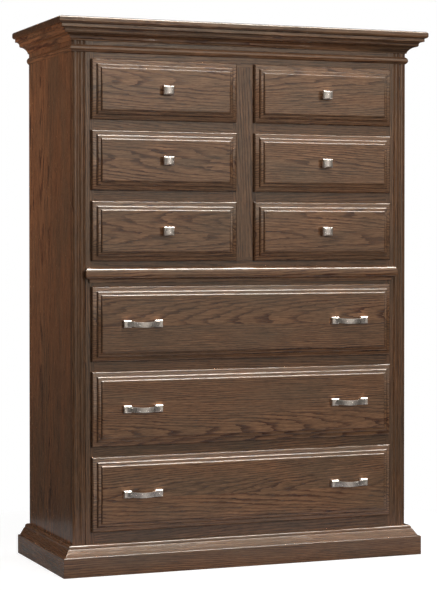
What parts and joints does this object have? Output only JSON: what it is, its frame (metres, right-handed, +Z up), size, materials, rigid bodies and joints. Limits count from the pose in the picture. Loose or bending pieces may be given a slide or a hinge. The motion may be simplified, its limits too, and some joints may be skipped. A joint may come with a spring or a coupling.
{
  "type": "chest of drawers",
  "caption": "Tall chest of drawers in chest-on-chest style: crown and base mouldings, reeded stiles, small drawers with knobs above, wide drawers with bow pulls below, all on telescopic slides.",
  "frame": {"origin": "on the floor, under the middle of the whole object's box", "axes": "+Z up, +X to the right as seen by someone facing the drawers, -Y out of the drawers"},
  "size_m": [1.173, 0.5, 1.6],
  "materials": {
    "stained_oak": "oak stained dark grey-brown under satin lacquer",
    "drawer_maple": "clear-lacquered maple",
    "case_plywood": "bare birch plywood and cleats",
    "back_plywood": "stained oak plywood",
    "satin_nickel": "satin nickel plate",
    "zinc_steel": "bright zinc plated steel"
  },
  "bodies": {
    "case": {"left_side_panel": "stained_oak", "right_side_panel": "stained_oak", "back_panel": "back_plywood", "case_decks": "case_plywood", "centre_partition": "case_plywood", "top_board": "stained_oak", "crown_moulding": "stained_oak", "bead_moulding": "stained_oak", "base_moulding": "stained_oak", "waist_moulding": "stained_oak", "corner_stiles": "stained_oak", "centre_stile": "stained_oak", "drawer_rails": "stained_oak", "slide_cleats": "case_plywood", "slide_case_members": "zinc_steel"},
    "third_left_drawer": {"third_left_drawer_front": "stained_oak", "third_left_drawer_box": "drawer_maple", "third_left_drawer_knob": "satin_nickel", "third_left_drawer_slide_rails": "zinc_steel"},
    "third_left_drawer_carriages": {"third_left_drawer_slide_carriages": "zinc_steel"},
    "third_right_drawer": {"third_right_drawer_front": "stained_oak", "third_right_drawer_box": "drawer_maple", "third_right_drawer_knob": "satin_nickel", "third_right_drawer_slide_rails": "zinc_steel"},
    "third_right_drawer_carriages": {"third_right_drawer_slide_carriages": "zinc_steel"},
    "second_left_drawer": {"second_left_drawer_front": "stained_oak", "second_left_drawer_box": "drawer_maple", "second_left_drawer_knob": "satin_nickel", "second_left_drawer_slide_rails": "zinc_steel"},
    "second_left_drawer_carriages": {"second_left_drawer_slide_carriages": "zinc_steel"},
    "second_right_drawer": {"second_right_drawer_front": "stained_oak", "second_right_drawer_box": "drawer_maple", "second_right_drawer_knob": "satin_nickel", "second_right_drawer_slide_rails": "zinc_steel"},
    "second_right_drawer_carriages": {"second_right_drawer_slide_carriages": "zinc_steel"},
    "top_left_drawer": {"top_left_drawer_front": "stained_oak", "top_left_drawer_box": "drawer_maple", "top_left_drawer_knob": "satin_nickel", "top_left_drawer_slide_rails": "zinc_steel"},
    "top_left_drawer_carriages": {"top_left_drawer_slide_carriages": "zinc_steel"},
    "top_right_drawer": {"top_right_drawer_front": "stained_oak", "top_right_drawer_box": "drawer_maple", "top_right_drawer_knob": "satin_nickel", "top_right_drawer_slide_rails": "zinc_steel"},
    "top_right_drawer_carriages": {"top_right_drawer_slide_carriages": "zinc_steel"},
    "bottom_drawer": {"bottom_drawer_front": "stained_oak", "bottom_drawer_box": "drawer_maple", "bottom_drawer_pulls": "satin_nickel", "bottom_drawer_slide_rails": "zinc_steel"},
    "bottom_drawer_carriages": {"bottom_drawer_slide_carriages": "zinc_steel"},
    "fifth_drawer": {"fifth_drawer_front": "stained_oak", "fifth_drawer_box": "drawer_maple", "fifth_drawer_pulls": "satin_nickel", "fifth_drawer_slide_rails": "zinc_steel"},
    "fifth_drawer_carriages": {"fifth_drawer_slide_carriages": "zinc_steel"},
    "fourth_drawer": {"fourth_drawer_front": "stained_oak", "fourth_drawer_box": "drawer_maple", "fourth_drawer_pulls": "satin_nickel", "fourth_drawer_slide_rails": "zinc_steel"},
    "fourth_drawer_carriages": {"fourth_drawer_slide_carriages": "zinc_steel"}
  },
  "joints": [
    {"name": "third_left_drawer_slide", "type": "slide", "parent": "case", "child": "third_left_drawer", "axis": [0, -1, 0], "range_m": [0, 0.4]},
    {"name": "third_left_drawer_carriage_slide", "type": "slide", "parent": "case", "child": "third_left_drawer_carriages", "axis": [0, -1, 0], "range_m": [0, 0.2]},
    {"name": "third_right_drawer_slide", "type": "slide", "parent": "case", "child": "third_right_drawer", "axis": [0, -1, 0], "range_m": [0, 0.4]},
    {"name": "third_right_drawer_carriage_slide", "type": "slide", "parent": "case", "child": "third_right_drawer_carriages", "axis": [0, -1, 0], "range_m": [0, 0.2]},
    {"name": "second_left_drawer_slide", "type": "slide", "parent": "case", "child": "second_left_drawer", "axis": [0, -1, 0], "range_m": [0, 0.4]},
    {"name": "second_left_drawer_carriage_slide", "type": "slide", "parent": "case", "child": "second_left_drawer_carriages", "axis": [0, -1, 0], "range_m": [0, 0.2]},
    {"name": "second_right_drawer_slide", "type": "slide", "parent": "case", "child": "second_right_drawer", "axis": [0, -1, 0], "range_m": [0, 0.4]},
    {"name": "second_right_drawer_carriage_slide", "type": "slide", "parent": "case", "child": "second_right_drawer_carriages", "axis": [0, -1, 0], "range_m": [0, 0.2]},
    {"name": "top_left_drawer_slide", "type": "slide", "parent": "case", "child": "top_left_drawer", "axis": [0, -1, 0], "range_m": [0, 0.4]},
    {"name": "top_left_drawer_carriage_slide", "type": "slide", "parent": "case", "child": "top_left_drawer_carriages", "axis": [0, -1, 0], "range_m": [0, 0.2]},
    {"name": "top_right_drawer_slide", "type": "slide", "parent": "case", "child": "top_right_drawer", "axis": [0, -1, 0], "range_m": [0, 0.4]},
    {"name": "top_right_drawer_carriage_slide", "type": "slide", "parent": "case", "child": "top_right_drawer_carriages", "axis": [0, -1, 0], "range_m": [0, 0.2]},
    {"name": "bottom_drawer_slide", "type": "slide", "parent": "case", "child": "bottom_drawer", "axis": [0, -1, 0], "range_m": [0, 0.4]},
    {"name": "bottom_drawer_carriage_slide", "type": "slide", "parent": "case", "child": "bottom_drawer_carriages", "axis": [0, -1, 0], "range_m": [0, 0.2]},
    {"name": "fifth_drawer_slide", "type": "slide", "parent": "case", "child": "fifth_drawer", "axis": [0, -1, 0], "range_m": [0, 0.4]},
    {"name": "fifth_drawer_carriage_slide", "type": "slide", "parent": "case", "child": "fifth_drawer_carriages", "axis": [0, -1, 0], "range_m": [0, 0.2]},
    {"name": "fourth_drawer_slide", "type": "slide", "parent": "case", "child": "fourth_drawer", "axis": [0, -1, 0], "range_m": [0, 0.4]},
    {"name": "fourth_drawer_carriage_slide", "type": "slide", "parent": "case", "child": "fourth_drawer_carriages", "axis": [0, -1, 0], "range_m": [0, 0.2]}
  ],
  "couplings": [
    {"joint": "third_left_drawer_carriage_slide", "follows": "third_left_drawer_slide", "ratio": 0.5},
    {"joint": "third_right_drawer_carriage_slide", "follows": "third_right_drawer_slide", "ratio": 0.5},
    {"joint": "second_left_drawer_carriage_slide", "follows": "second_left_drawer_slide", "ratio": 0.5},
    {"joint": "second_right_drawer_carriage_slide", "follows": "second_right_drawer_slide", "ratio": 0.5},
    {"joint": "top_left_drawer_carriage_slide", "follows": "top_left_drawer_slide", "ratio": 0.5},
    {"joint": "top_right_drawer_carriage_slide", "follows": "top_right_drawer_slide", "ratio": 0.5},
    {"joint": "bottom_drawer_carriage_slide", "follows": "bottom_drawer_slide", "ratio": 0.5},
    {"joint": "fifth_drawer_carriage_slide", "follows": "fifth_drawer_slide", "ratio": 0.5},
    {"joint": "fourth_drawer_carriage_slide", "follows": "fourth_drawer_slide", "ratio": 0.5}
  ]
}
